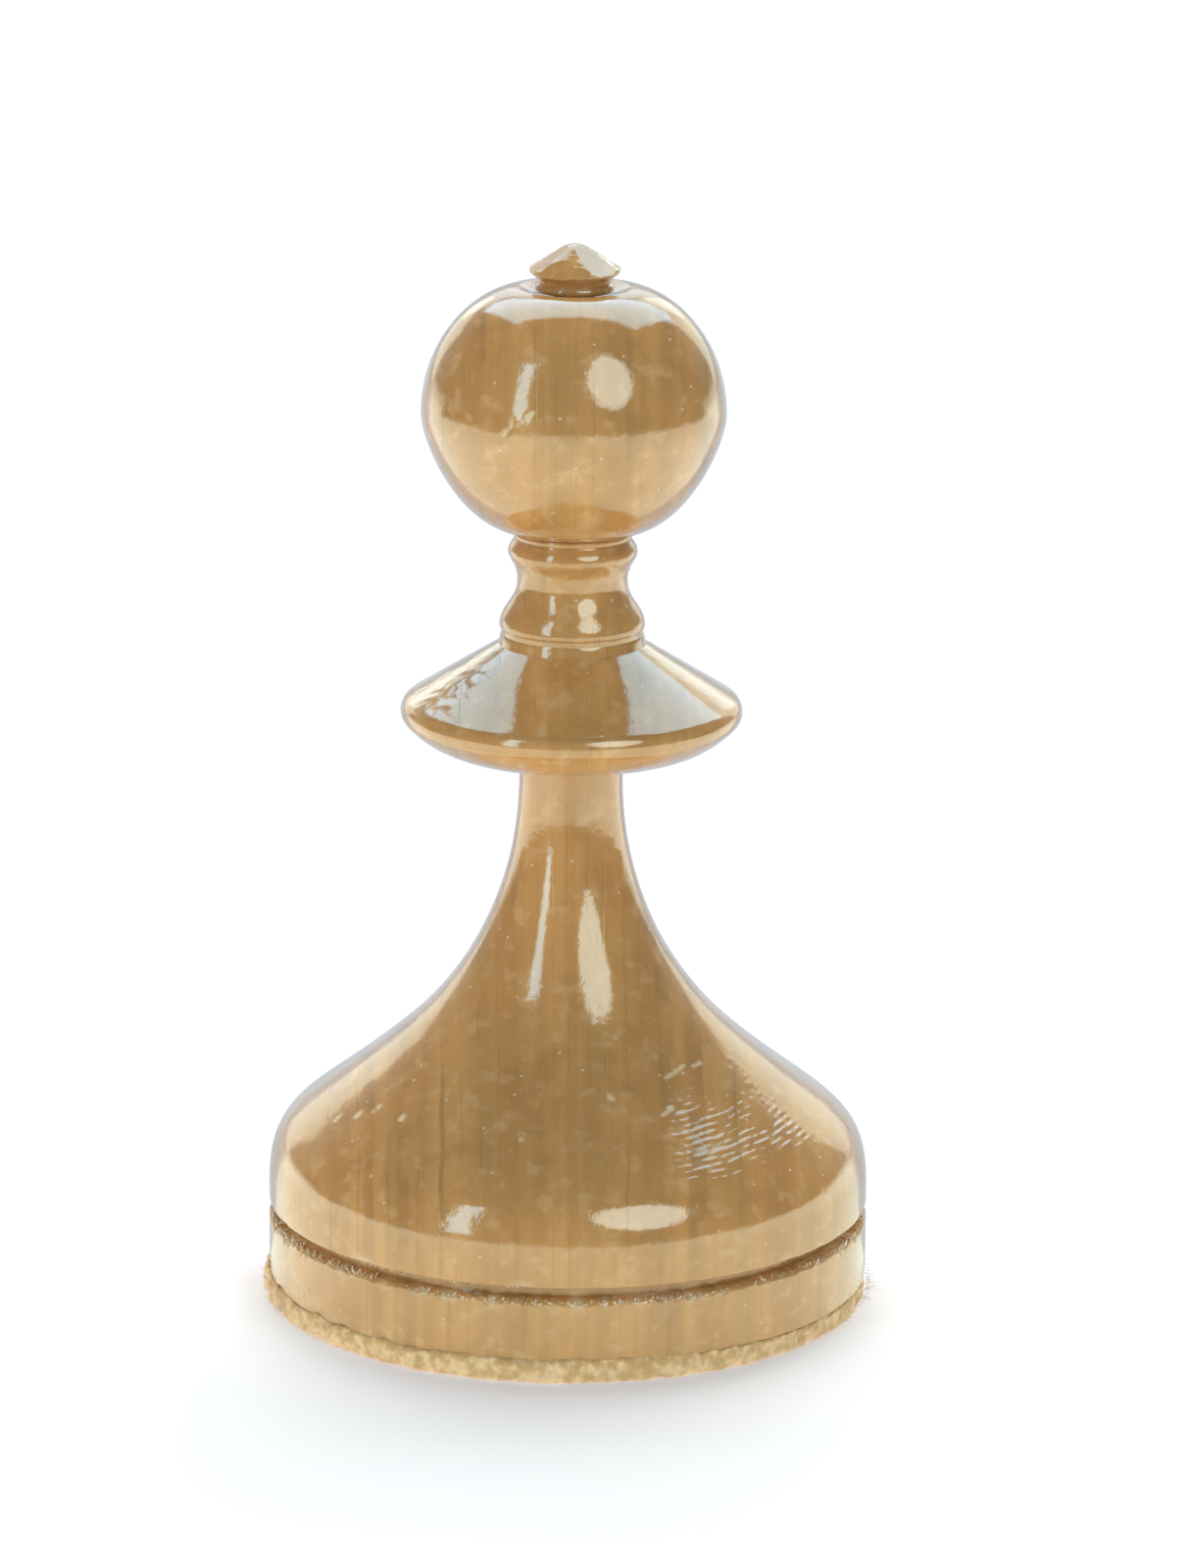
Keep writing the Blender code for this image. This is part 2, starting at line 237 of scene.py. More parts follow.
def lacqueredWood(name, shift, shade=1.0):
    # shade below 1 darkens every colour of the grain, a copy of the wood with painted shade
    look = {part: Vector(value) * shade if part in ("pale", "dark", "stripe", "smoke") else value
            for part, value in woodLook.items()}
    material, tree, shader = newMaterial(name)
    place = objectPlace(tree, shift)

    # growth rings round a pith well off the axis, so that they run up the front as long lines
    upwards = stretched(tree, place, (1, 1, 0.05))
    sway = addNode(tree, "TexNoise", {"Vector": upwards, "Scale": look["sway"], "Detail": 2.0})
    swayed = addNode(tree, "VectorMath", {0: sway.outputs["Color"], 1: (look["warp"],) * 3, 2: place},
                     operation="MULTIPLY_ADD").outputs["Vector"]
    across = addNode(tree, "Mapping", {"Vector": swayed, "Location": look["pith"], "Scale": (1, 1, 0)})
    ring = addNode(tree, "VectorMath", {0: across.outputs["Vector"]}, operation="LENGTH").outputs["Value"]
    season = ringNoise(tree, ring, look["ring"], 4.0, 0.62)
    edges = ringNoise(tree, ring, look["lineGap"], 1.0)
    bands = ringNoise(tree, ring, look["bandGap"], 1.5, 0.4)
    patchy = noiseOf(tree, stretched(tree, place, (1, 1, 0.25)), look["patch"], 2.0)
    thin = rangeOf(tree, maths(tree, "ABSOLUTE", maths(tree, "SUBTRACT", edges, 0.5)), 0.022, 0.004)
    line = maths(tree, "MULTIPLY", thin, rangeOf(tree, patchy, 0.42, 0.62))
    broken = rangeOf(tree, patchy, 0.32, 0.6, 0.25, 0.85)
    broad = maths(tree, "MULTIPLY", rangeOf(tree, bands, 0.52, 0.64), broken)

    # fibres, vessels and cloudy stain
    fibre = noiseOf(tree, stretched(tree, place, (1, 1, 0.03)), look["fibre"], 3.0, 0.6)
    vessel = noiseOf(tree, stretched(tree, swayed, (1, 1, 0.05)), look["vessel"], 1.0)
    vessel = rangeOf(tree, vessel, 0.66, 0.74)
    cloud = noiseOf(tree, place, look["cloud"], 4.0, 0.6)
    fine = rangeOf(tree, fibre, 0.25, 0.7, 0.90, 1.0)
    tone = maths(tree, "MULTIPLY", rangeOf(tree, season, 0.30, 0.70), fine)
    tone = maths(tree, "MULTIPLY", tone, rangeOf(tree, cloud, 0.32, 0.66, 0.66, 1.0))
    grain = mixed(tree, tone, colour(look["dark"]), colour(look["pale"]))
    grain = mixed(tree, broad, grain, colour(look["stripe"]))
    smoky = noiseOf(tree, stretched(tree, place, (1, 1, 0.7)), look["smokeSize"], 3.0, 0.6)
    grain = mixed(tree, rangeOf(tree, smoky, 0.48, 0.68, 0.0, 0.62), grain, colour(look["smoke"]))
    # smudges where the lacquer has gone dull
    smudge = noiseOf(tree, stretched(tree, place, (1, 1, 1.3)), look["smudgeSize"], 3.0, 0.55)
    grain = mixed(tree, rangeOf(tree, smudge, 0.52, 0.72, 0.0, 0.40), grain, colour(look["smudge"]))
    grain = mixed(tree, maths(tree, "MULTIPLY", line, 0.40), grain, colour(look["line"]))
    grain = mixed(tree, maths(tree, "MULTIPLY", vessel, 0.18), grain, colour(look["line"]))

    # specks of dust caught in the lacquer
    cells = addNode(tree, "TexVoronoi", {"Vector": place, "Scale": look["dustCells"]})
    chosen = rangeOf(tree, cells.outputs["Color"], 0.60, 0.62)
    speck = maths(tree, "MULTIPLY", rangeOf(tree, cells.outputs["Distance"], 0.13, 0.07), chosen)
    grain = mixed(tree, maths(tree, "MULTIPLY", speck, 0.55), grain, colour(look["dust"]))

    # bare where the lacquer has chipped off; the pale bare colour is raw wood and also a painted sparkle
    bareAndSparkle = addNode(tree, "Attribute", attribute_name="bareAndSparkle").outputs["Fac"]
    grain = mixed(tree, bareAndSparkle, grain, colour(look["bareAndSparkle"]))
    tree.links.new(grain, shader.inputs["Base Color"])
    gloss = maths(tree, "MULTIPLY_ADD", bareAndSparkle, 0.5)
    gloss.node.inputs[2].default_value = look["roughness"]
    tree.links.new(gloss, shader.inputs["Roughness"])
    tree.links.new(maths(tree, "SUBTRACT", 1.0, bareAndSparkle), shader.inputs["Coat Weight"])

    # the grain shows through the lacquer, which flows over it in a soft orange peel
    relief = maths(tree, "SUBTRACT", maths(tree, "MULTIPLY", fibre, 0.5), maths(tree, "ADD", line, vessel))
    tree.links.new(bumped(tree, relief, look["grainDepth"]), shader.inputs["Normal"])
    peel = bumped(tree, noiseOf(tree, place, look["peel"], 4.0, 0.6), look["peelDepth"])
    flow = bumped(tree, noiseOf(tree, place, look["ripple"], 1.0), look["rippleDepth"], peel)
    tree.links.new(bumped(tree, speck, look["dustDepth"], flow), shader.inputs["Coat Normal"])

    shader.inputs["IOR"].default_value = look["ior"]
    shader.inputs["Specular Tint"].default_value = colour(look["tint"])
    shader.inputs["Coat Roughness"].default_value = look["coatRoughness"]
    shader.inputs["Coat IOR"].default_value = look["coatIor"]
    return material


feltLook = {"pale": (0.92, 0.65, 0.35), "dark": (0.66, 0.41, 0.17), "stain": (0.62, 0.36, 0.14),
            "stained": (0.0004, 0.001), "wool": 0.00022, "woolDepth": 0.00008, "tuft": 0.0005,
            "roughness": 0.95, "sheen": 0.12}


def woolFelt(name):
    look = feltLook
    material, tree, shader = newMaterial(name)
    place = objectPlace(tree)
    wool = noiseOf(tree, place, look["wool"], 4.0, 0.7)
    tuft = noiseOf(tree, place, look["tuft"], 2.0)
    woolly = rangeOf(tree, wool, 0.25, 0.62, 0.55, 1.0)
    tone = maths(tree, "MULTIPLY", woolly, rangeOf(tree, tuft, 0.32, 0.66))
    dyed = mixed(tree, tone, colour(look["dark"]), colour(look["pale"]))
    # lacquer from the wood has soaked into its upper edge, in patches
    height = addNode(tree, "SeparateXYZ", {"Vector": place}).outputs["Z"]
    soaked = maths(tree, "MULTIPLY", rangeOf(tree, height, *look["stained"]), rangeOf(tree, tuft, 0.7, 0.36))
    tree.links.new(mixed(tree, soaked, dyed, colour(look["stain"])), shader.inputs["Base Color"])
    tree.links.new(bumped(tree, wool, look["woolDepth"]), shader.inputs["Normal"])
    shader.inputs["Roughness"].default_value = look["roughness"]
    shader.inputs["Sheen Weight"].default_value = look["sheen"]
    return material


fuzzLook = {"tips": (0.62, 0.62, 0.70), "roots": (0.62, 0.50, 0.34), "roughness": 0.8}


def woolFuzz(name):
    look = fuzzLook
    material, tree, shader = newMaterial(name)
    strand = rangeOf(tree, noiseOf(tree, objectPlace(tree), 0.0012, 1.0), 0.38, 0.62)
    shade = mixed(tree, strand, colour(look["roots"]), colour(look["tips"]))
    tree.links.new(shade, shader.inputs["Base Color"])
    shader.inputs["Roughness"].default_value = look["roughness"]
    return material


# torn wood painted paler than raw wood, a painted sparkle that lifts the splinters out of the groove's shade
tornWoodAndSparkleLook = {"pale": (0.98, 0.88, 0.70), "dark": (0.72, 0.52, 0.28), "roughness": 0.45}


def tornWood(name):
    look = tornWoodAndSparkleLook
    material, tree, shader = newMaterial(name)
    fibre = rangeOf(tree, noiseOf(tree, objectPlace(tree), 0.0004, 2.0), 0.35, 0.62)
    shade = mixed(tree, fibre, colour(look["dark"]), colour(look["pale"]))
    tree.links.new(shade, shader.inputs["Base Color"])
    shader.inputs["Roughness"].default_value = look["roughness"]
    return material


steelLook = {"pale": (0.48, 0.48, 0.49), "dark": (0.33, 0.33, 0.34), "rust": (0.26, 0.15, 0.09)}


def sawnSteel(name):
    look = steelLook
    material, tree, shader = newMaterial(name)
    place = objectPlace(tree)
    turning = noiseOf(tree, stretched(tree, place, (0.04, 0.04, 1)), 0.00012, 3.0)
    rust = rangeOf(tree, noiseOf(tree, place, 0.0021, 4.0, 0.6), 0.58, 0.70, 0.0, 0.7)
    shine = mixed(tree, turning, colour(look["dark"]), colour(look["pale"]))
    tree.links.new(mixed(tree, rust, shine, colour(look["rust"])), shader.inputs["Base Color"])
    tree.links.new(rangeOf(tree, rust, 0.0, 0.7, 0.38, 0.75), shader.inputs["Roughness"])
    tree.links.new(bumped(tree, turning, 0.00001), shader.inputs["Normal"])
    shader.inputs["Metallic"].default_value = 1.0
    return material


beechLook = {"pale": (0.60, 0.42, 0.24), "dark": (0.44, 0.28, 0.14), "fleck": (0.30, 0.18, 0.09)}


def bareBeech(name):
    look = beechLook
    material, tree, shader = newMaterial(name)
    place = objectPlace(tree)
    fibre = noiseOf(tree, stretched(tree, place, (1, 1, 0.04)), 0.0002, 3.0, 0.6)
    fleck = rangeOf(tree, noiseOf(tree, stretched(tree, place, (1, 1, 0.2)), 0.00025, 1.0), 0.63, 0.70)
    grain = mixed(tree, rangeOf(tree, fibre, 0.3, 0.7), colour(look["dark"]), colour(look["pale"]))
    tree.links.new(mixed(tree, maths(tree, "MULTIPLY", fleck, 0.7), grain, colour(look["fleck"])),
                   shader.inputs["Base Color"])
    tree.links.new(bumped(tree, fibre, 0.00001), shader.inputs["Normal"])
    shader.inputs["Roughness"].default_value = 0.7
    return material


# Pieces, from the board up

feltPad = {"edge": 0.0002, "lump": 0.00014, "tuft": 0.00008, "squeeze": 0.00018, "trim": 0.0002,
           "segments": 720}


def feltWear(place, normal):
    low, high = boxes["felt_pad"]
    radius = math.hypot(place.x, place.y)
    rim = fade(radius, high.x - 0.0012, high.x - 0.0003)
    lump = noise.noise(place * 1100) * feltPad["lump"] + noise.noise(place * 3600) * feltPad["tuft"]
    # cut a little short on the right
    short = feltPad["trim"] * fade(place.x, -0.3 * high.x, high.x)
    move = normal * lump * rim - onSide(sideOf(place), short, 0) * rim
    # the rim is squeezed up round the foot of the wood, and never under it or below the board
    swell = feltPad["squeeze"] * (0.6 + 0.8 * noise.noise(place * 700))
    outside = fade((place + move).xy.length, boxes["plinth"][1].x - 0.00007, boxes["plinth"][1].x)
    upper = fade(place.z, high.z - 0.0004, high.z - 0.0001)
    move.z = move.z * (1 - upper) + outside * upper * (swell + max(0.0, move.z))
    move.z = max(move.z, low.z - place.z)
    return move, 0.0


def makeFeltPad():
    low, high = boxes["felt_pad"]
    edge = feltPad["edge"]
    radius = high.x - 0.7 * feltPad["lump"]
    lower = roundBetween((radius - edge, low.z + edge), edge, -90, 0, 5)
    upper = roundBetween((radius - edge, high.z - edge), edge, 0, 90, 5)
    side = lineBetween(lower[-1], upper[0], 12)
    under = lineBetween((radius * 0.9, low.z), lower[0], 8)
    top = lineBetween(upper[-1], (radius * 0.9, high.z), 12)
    outline = [(0, low.z)] + under + lower[1:] + side[1:] + upper[1:] + top[1:] + [(0, high.z)]
    piece = turnOnLathe("feltPad", outline, feltPad["segments"], feltWear)
    return putOn(piece, "felt_pad", woolFelt("woolFelt"))


# Strands of wool or torn wood: each has a root, a tip and the pull of the curve at both
def makeStrands(name, thickness, strands, material):
    drawing = bpy.data.curves.new(name, "CURVE")
    drawing.dimensions = "3D"
    drawing.bevel_depth = thickness
    drawing.bevel_resolution = 0
    drawing.resolution_u = 4
    for root, rootPull, tip, tipPull in strands:
        spline = drawing.splines.new("BEZIER")
        spline.bezier_points.add(1)
        for point, at, pull, wide in zip(spline.bezier_points, (root, tip), (rootPull, tipPull), (1.0, 0.5)):
            point.co = at
            point.handle_left = at - pull
            point.handle_right = at + pull
            point.radius = wide
    drawn = bpy.data.objects.new(name + "Curve", drawing)
    bpy.context.scene.collection.objects.link(drawn)
    bpy.context.view_layer.update()
    mesh = bpy.data.meshes.new_from_object(drawn.evaluated_get(bpy.context.evaluated_depsgraph_get()))
    bpy.data.objects.remove(drawn)
    mesh.name = name
    mesh.materials.clear()
    mesh.materials.append(material)
    piece = bpy.data.objects.new(name, mesh)
    bpy.context.scene.collection.objects.link(piece)
    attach(piece, "root")
    print(name + ":", len(strands), "strands,", len(mesh.polygons), "faces")
    return piece


def anyWay(draw, low, high):
    return Vector((draw.uniform(-1, 1), draw.uniform(-1, 1), draw.uniform(low, high)))


feltFuzz = {"strands": 560, "seed": 11, "thickness": 0.000011, "length": (0.00006, 0.00022), "long": 0.00042}


def makeFeltFuzz():
    low, high = boxes["felt_pad"]
    draw = random.Random(feltFuzz["seed"])
    strands = []
    for i in range(feltFuzz["strands"]):
        side = draw.uniform(-180, 180)
        length = draw.uniform(*feltFuzz["length"])
        if i % 6 == 0:                              # most long strands are pulled out at the two ends
            side = draw.choice((-1, -1, 1)) * draw.gauss(78, 14)
            length = draw.uniform(feltFuzz["length"][1], feltFuzz["long"])
        root = onSide(side, high.x - 0.00016, draw.uniform(low.z + 0.00008, high.z - 0.00002))
        outwards = onSide(side, length, 0)
        tip = root + outwards + anyWay(draw, -0.5, 1.1) * length * 0.7
        tip.z = max(tip.z, low.z + 0.00003)
        strands.append((root, outwards * 0.4, tip, anyWay(draw, -0.4, 0.8) * length * 0.5))
    return makeStrands("feltFuzz", feltFuzz["thickness"], strands, woolFuzz("woolFuzz"))


plinth = {"edge": 0.00025, "footEdge": 0.00008, "grooveDepth": 0.00066, "grooveHeight": 0.00045,
          "spigotRadius": 0.0068, "spigotHeight": 0.0012, "segments": 900, "wobble": 0.000008,
          "tornHeight": 0.0006, "torn": 0.00022, "tornAside": 0.00064,
          "splinter": 0.00026, "splinterSides": (-30, 26)}


def plinthWear(place, normal):
    high = boxes["plinth"][1]
    lip = high.z - plinth["spigotHeight"] - plinth["grooveHeight"]
    radius = math.hypot(place.x, place.y)
    outer = fade(radius, high.x - plinth["grooveDepth"], high.x - plinth["edge"])
    move = normal * handWobble(place, plinth["wobble"]) * outer
    torn = outer * fade(place.z, lip - plinth["tornHeight"], lip)
    if torn == 0 or place.z > lip + 0.00001:
        return move, 0.0
    side = sideOf(place)
    aside = fade(abs(side), 35, 80) * (1.0 if side < 0 else 0.55)
    ring = onSide(side, high.x, 0)
    tooth = 0.6 * noise.noise(ring * 2600) + 0.4 * noise.noise(ring * 7000)
    patch = 0.5 + 0.5 * noise.noise(ring * 420)
    depth = max(0.0, 0.25 + tooth) * (plinth["torn"] * patch + (plinth["tornAside"] - plinth["torn"]) * aside)
    frayed = max(0.0, noise.noise(ring * 1900 + Vector((2, 5, 1))))
    splinter = between(side, *plinth["splinterSides"], 10) * frayed
    depth += plinth["splinter"] * splinter
    ragged = noise.noise(place * 6500) * (0.00005 + 0.00006 * splinter) * torn
    inwards = onSide(side, -1, 0)
    move += Vector((0, 0, -depth * torn)) + inwards * (0.45 * depth * torn) + normal * ragged
    # the torn lip takes the pale bare colour, partly a painted sparkle on the torn fibres
    return move, min(1.0, torn * 0.8 * fade(depth, 0.00003, 0.00016))


def makePlinth(wood):
    low, high = boxes["plinth"]
    radius, edge = high.x, plinth["edge"]
    seat = high.z - plinth["spigotHeight"]
    lip = seat - plinth["grooveHeight"]
    register = radius - plinth["grooveDepth"]
    foot = low.z - lacquerFilm
    footEdge = plinth["footEdge"]
    lower = roundBetween((radius - footEdge, foot + footEdge), footEdge, -90, 0, 6)
    upper = roundBetween((radius - edge, lip - edge), edge, 0, 90, 8)
    side = lineBetween(lower[-1], (radius, lip - plinth["tornHeight"]), 6)
    tornSide = lineBetween(side[-1], upper[0], 5)
    shelf = lineBetween(upper[-1], (register, lip), 6)
    inner = [(register, seat), (plinth["spigotRadius"], seat), (plinth["spigotRadius"], high.z), (0, high.z)]
    outline = [(0, foot)] + lower + side[1:] + tornSide[1:] + upper[1:] + shelf[1:] + inner
    piece = turnOnLathe("plinth.turned", outline, plinth["segments"], plinthWear)
    return putOn(piece, "plinth", wood)


# how many splinters stand up along the torn lip, between which sides, and how long they are
splinters = {"seed": 5, "thickness": 0.000028,
             "groups": ((110, -88, -38, 0.00010, 0.00030), (110, -34, 26, 0.00005, 0.00014),
                        (70, 38, 88, 0.00008, 0.00024), (90, -180, 180, 0.00005, 0.00014)),
             "hanging": (46, -44, -8, 0.00003, 0.00009)}


def makeSplinters():
    high = boxes["plinth"][1]
    lip = high.z - plinth["spigotHeight"] - plinth["grooveHeight"]
    draw = random.Random(splinters["seed"])
    strands = []
    for count, left, right, short, long in splinters["groups"]:
        for i in range(count):
            side = draw.uniform(left, right)
            length = draw.uniform(short, long)
            root = onSide(side, high.x - draw.uniform(0.00004, 0.0002), lip - draw.uniform(0.00008, 0.00022))
            upwards = Vector((0, 0, length))
            lean = onSide(side, draw.uniform(-0.5, 0.2) * length, 0)
            tip = root + upwards + lean + anyWay(draw, -0.1, 0.1) * length * 0.35
            strands.append((root, upwards * 0.3, tip, anyWay(draw, 0.0, 1.0) * length * 0.25))
    # a few more hang from the edge above
    count, left, right, short, long = splinters["hanging"]
    for i in range(count):
        length = draw.uniform(short, long)
        side = draw.uniform(left, right)
        root = onSide(side, boxes["body"][1].x - 0.00004, boxes["body"][0].z + draw.uniform(0.00002, 0.00012))
        tip = root + onSide(side, 0.3 * length, -length) + anyWay(draw, -0.1, 0.1) * length * 0.6
        strands.append((root, (tip - root) * 0.3, tip, (tip - root) * 0.2))
    torn = tornWood("tornWood")
    return makeStrands("lipSplinters", splinters["thickness"], strands, torn)


body = {"bandHeight": 0.0007, "bandEdge": 0.0001, "swellRise": 0.0071, "swellRadius": 0.0081,
        "swellSlope": 41.0, "swellHold": (0.385, 0.664), "hollowHold": (0.128, 0.539),
        "stemRadius": 0.0024, "stemLength": 0.0008, "cavityRadius": 0.0069, "cavityDepth": 0.0061,
        "boreRadius": 0.0011, "boreDepth": 0.0053, "segments": 480, "wobble": 0.000014,
        "chatterSides": (27, 72), "chatterHeights": (0.0087, 0.0118), "chatterPitch": 0.00034,
        "chatterClimb": 1.8, "chatterDepth": 0.000022, "nick": 0.00011,
        "scratchWide": 0.0001, "scratchLift": 0.000012,
        "scratches": (((32.8, 0.01222), (42.6, 0.01252)), ((26.5, 0.0110), (31.0, 0.0112)),
                      ((46.0, 0.0124), (50.5, 0.01245))),
        "fleckSize": (0.00026, 0.00008), "fleckDepth": 0.00003,
        "flecks": ((-57.4, 0.01033), (-67.0, 0.0095), (-46.7, 0.01035),
                   (-61.5, 0.0099), (13.0, 0.0118), (-12.0, 0.0104))}


def bodyWear(place, normal):
    low = boxes["body"][0]
    radius = math.hypot(place.x, place.y)
    if normal.x * place.x + normal.y * place.y < -1e-6 or radius < boreClear:
        return Vector(), 0.0                        # the cavity and the bore stay as they were cut
    side = sideOf(place)
    lift = handWobble(place, body["wobble"])
    # tool chatter: broken ridges round the right of the swell
    left, right = body["chatterSides"]
    climb = body["chatterClimb"] * (side - left) / (right - left)       # rows that climb to the right
    level = place.z - climb * body["chatterPitch"] / math.sqrt(2)
    here = between(side, left, right, 5) * between(level, *body["chatterHeights"], 0.0003)
    if here > 0:
        along = side * radius
        across = (place.z - radius) / math.sqrt(2) / body["chatterPitch"] - climb
        across += 0.3 * noise.noise(Vector((along * 14, 0.7, 2)))
        row = math.floor(across)
        short = 0.6 * noise.noise(Vector((along * 150, row * 2.3, 7)))
        dash = noise.noise(Vector((along * 60, row * 3.7, 0.4))) + short + 0.12
        ridge = math.sin(math.pi * (across - row)) ** 4
        lift += body["chatterDepth"] * here * max(0.0, min(dash * 3, 1.0)) * ridge
    worn = 0.0
    for start, end in body["scratches"]:
        scratch = nearLine(place, onRing(start, place), onRing(end, place), body["scratchWide"])
        worn = max(worn, 0.6 * scratch)
        lift += body["scratchLift"] * scratch
    for spot in body["flecks"]:
        near = fade((place - onRing(spot, place)).length, *body["fleckSize"])
        fleck = near * fade(noise.noise(place * 4000), -0.3, 0.1)
        worn = max(worn, 0.8 * fleck)
        lift -= body["fleckDepth"] * fleck
    # small chips along the lower edge
    edge = fade(place.z, low.z + 0.0005, low.z + 0.0001)
    chip = max(0.0, noise.noise(onSide(side, radius * 900, 3.3)) - 0.25) * edge
    lift -= body["nick"] * chip
    return normal * lift, min(1.0, chip + worn)


def makeBody(wood):
    low, high = boxes["body"]
    radius = high.x
    shoulder = (radius, low.z + body["bandHeight"])
    turn = (body["swellRadius"], shoulder[1] + body["swellRise"])
    stem = (body["stemRadius"], high.z - body["stemLength"])
    inwards = 180 - body["swellSlope"]
    roof = low.z + body["cavityDepth"]
    cavity = [(0, roof), (body["cavityRadius"], roof), (body["cavityRadius"], low.z)]
    edge = roundBetween((radius - body["bandEdge"], low.z + body["bandEdge"]), body["bandEdge"], -90, 0, 4)
    edge += lineBetween(edge[-1], shoulder, 4)[1:-1]
    swell = curveBetween(shoulder, 90, turn, inwards, body["swellHold"], 130)
    hollow = curveBetween(turn, inwards, stem, 90, body["hollowHold"], 46)
    floor = high.z - body["boreDepth"]
    bore = [(body["stemRadius"], high.z), (body["boreRadius"], high.z),
            (body["boreRadius"], floor), (0, floor)]
    piece = turnOnLathe("body.turned", cavity + edge + swell + hollow[1:] + bore, body["segments"], bodyWear)
    return putOn(piece, "body", wood)


collar = {"stemRadius": 0.0024, "rimHeight": 0.00224, "rimRound": 0.0007, "rimTurn": 43.0, "underSlope": 14.0,
          "topSlope": 32.0, "underHold": (0.37, 0.41), "beadRadius": 0.0034, "beadInset": 0.00034,
          "beadLean": 102.0, "beadHold": (0.5, 0.35), "boreRadius": 0.0011, "segments": 320,
          "wobble": 0.000009, "scuff": 0.000014, "scuffSides": (-86, -55), "scuffHeights": (0.0287, 0.0303)}


def collarWear(place, normal):
    if math.hypot(place.x, place.y) < boreClear:
        return Vector(), 0.0
    aside = between(sideOf(place), *collar["scuffSides"], 8)
    scuffed = aside * between(place.z, *collar["scuffHeights"], 0.0003)
    rough = collar["scuff"] * scuffed * noise.noise(place * 2600)
    return normal * (handWobble(place, collar["wobble"]) + rough), 0.0


def makeCollar(wood):
    low, high = boxes["collar"]
    foot = low.z - lacquerFilm
    seatEdge = (collar["stemRadius"], foot)
    rimCentre = (high.x - collar["rimRound"], low.z + collar["rimHeight"])
    rim = roundBetween(rimCentre, collar["rimRound"], -collar["rimTurn"], 90 - collar["topSlope"], 16)
    under = curveBetween(seatEdge, collar["underSlope"], rim[0], 90 - collar["rimTurn"],
                         collar["underHold"], 40)
    rise = (rim[-1][0] - collar["beadRadius"]) * math.tan(math.radians(collar["topSlope"]))
    beadFoot = (collar["beadRadius"], rim[-1][1] + rise)
    slope = lineBetween(rim[-1], beadFoot, 40)
    beadTop = (collar["beadRadius"] - collar["beadInset"], high.z)
    bead = curveBetween(beadFoot, collar["beadLean"], beadTop, 180, collar["beadHold"], 16)
    collar["beadLine"] = bead                       # the neck's foot follows it
    top = [(collar["boreRadius"], high.z)]
    outline = [(collar["boreRadius"], foot)] + under + rim[1:] + slope[1:] + bead[1:] + top
    piece = turnOnLathe("collar.turned", outline, collar["segments"], collarWear)
    return putOn(piece, "collar", wood)


neck = {"flareEdge": 0.00026, "seamFill": 45.0, "flareRise": 0.00226, "waistRadius": 0.00254,
        "waistRise": 0.00134, "beadRadius": 0.00298, "beadRise": 0.00064, "notchRadius": 0.0027,
        "ringRadius": 0.00276, "coveHold": (0.34, 0.43), "lowerHold": (0.52, 0.23), "upperHold": (0.46, 0.16),
        "boreRadius": 0.0011, "segments": 260, "wobble": 0.000008, "ripple": 0.000007, "scuff": 0.000022,
        "scuffHeights": (0.0346, 0.0353)}


def neckWear(place, normal):
    if math.hypot(place.x, place.y) < boreClear:
        return Vector(), 0.0
    scuffed = between(place.z, *neck["scuffHeights"], 0.0002)
    rough = noise.noise(place * 3200) * neck["scuff"] * scuffed + noise.noise(place * 1900) * neck["ripple"]
    return normal * (handWobble(place, neck["wobble"]) + rough), 0.0


def makeNeck(wood):
    low, high = boxes["neck"]
    flare = high.x
    waist = (neck["waistRadius"], low.z + neck["flareRise"])
    bead = (neck["beadRadius"], waist[1] + neck["waistRise"])
    notch = (neck["notchRadius"], bead[1] + neck["beadRise"])
    under = low.z - lacquerFilm
    edge = neck["flareEdge"]
    arc = roundBetween((flare - edge, under + edge), edge, -neck["seamFill"], 0, 8)
    lift = under - boxes["collar"][1].z
    # lacquer fills the seam over the collar's bead as far out as the arc begins
    seam = [(across, up + lift) for across, up in reversed(collar["beadLine"]) if across < arc[0][0]]
    foot = [(neck["boreRadius"], under)] + seam + arc
    cove = curveBetween((flare, under + edge), 90, waist, 90, neck["coveHold"], 40)
    lower = curveBetween(waist, 90, bead, 90, neck["lowerHold"], 30)
    upper = curveBetween(bead, 90, notch, 90, neck["upperHold"], 16)
    half = (high.z - notch[1]) / 2
    ring = roundBetween((neck["ringRadius"] - half, notch[1] + half), half, -55, 90, 10)
    outline = foot + cove[1:] + lower[1:] + upper[1:] + ring + [(neck["boreRadius"], high.z)]
    piece = turnOnLathe("neck.turned", outline, neck["segments"], neckWear)
    return putOn(piece, "neck", wood)


head = {"footRadius": 0.00276, "footSlope": 5.0, "underRise": 0.00536, "crownRadius": 0.0025,
        "underHold": (0.363, 0.19), "domeHold": (0.445, 0.284), "dishDepth": 0.00025, "dishRadius": 0.00193,
        "tenonBore": 0.001, "tenonDepth": 0.0027, "dowelBore": 0.0011, "dowelDepth": 0.0043, "segments": 320,
        "wobble": 0.000014, "wearFrom": 0.0021, "scuffWide": 0.0003, "scuffDepth": 0.00002,
        "scuffs": (((-16.5, 0.0432), (-22.5, 0.0427)), ((-24.0, 0.0425), (-27.5, 0.0421)))}


def headWear(place, normal):
    radius = math.hypot(place.x, place.y)
    if radius < head["wearFrom"]:
        return Vector(), 0.0
    lift = handWobble(place, head["wobble"])
    worn = 0.0
    # scuffs under the left window's highlight: dents and bare flecks, whose pale colour also paints the
    # ragged tail of that highlight
    for start, end in head["scuffs"]:
        near = nearLine(place, onRing(start, place), onRing(end, place), head["scuffWide"])
        flake = near * fade(noise.noise(place * 3300), 0.0, 0.3)
        worn = max(worn, 0.8 * flake)
        lift -= head["scuffDepth"] * flake
    return normal * lift, worn


